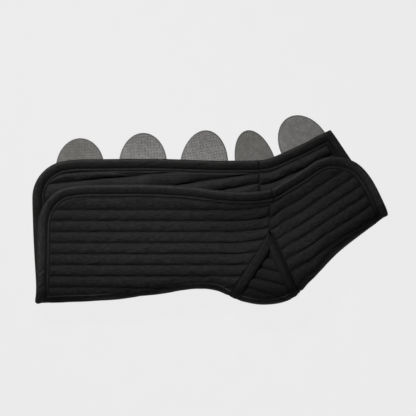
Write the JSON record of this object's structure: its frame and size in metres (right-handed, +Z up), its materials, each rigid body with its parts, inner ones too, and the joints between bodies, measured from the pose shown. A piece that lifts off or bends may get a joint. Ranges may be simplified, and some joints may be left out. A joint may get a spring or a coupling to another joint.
{
  "type": "lower leg compression wrap",
  "caption": "Padded quilted wrap for the lower leg and foot, folded flat, with a heel gusset, bound edges and hook tabs along the rear flap.",
  "frame": {"origin": "middle of the overall box, on the floor that the wrap lies on", "axes": "+X from the calf end to the foot end, +Y from the fold to the free edges, +Z up"},
  "size_m": [0.4766, 0.2546, 0.0451],
  "materials": {
    "quilted_cloth": "brushed, matt black",
    "binding_cloth": "plain knit, matt black",
    "hook_tape": "hook tape, matt grey"
  },
  "bodies": {
    "root": {"leg_panel": "quilted_cloth", "foot_panel": "quilted_cloth", "heel_gusset": "quilted_cloth", "gusset_tape_leg": "binding_cloth", "gusset_tape_foot": "binding_cloth", "leg_binding": "binding_cloth", "foot_binding": "binding_cloth", "hook_tab_1": "hook_tape", "hook_tab_2": "hook_tape", "hook_tab_3": "hook_tape", "hook_tab_4": "hook_tape", "hook_tab_5": "hook_tape"}
  },
  "joints": []
}
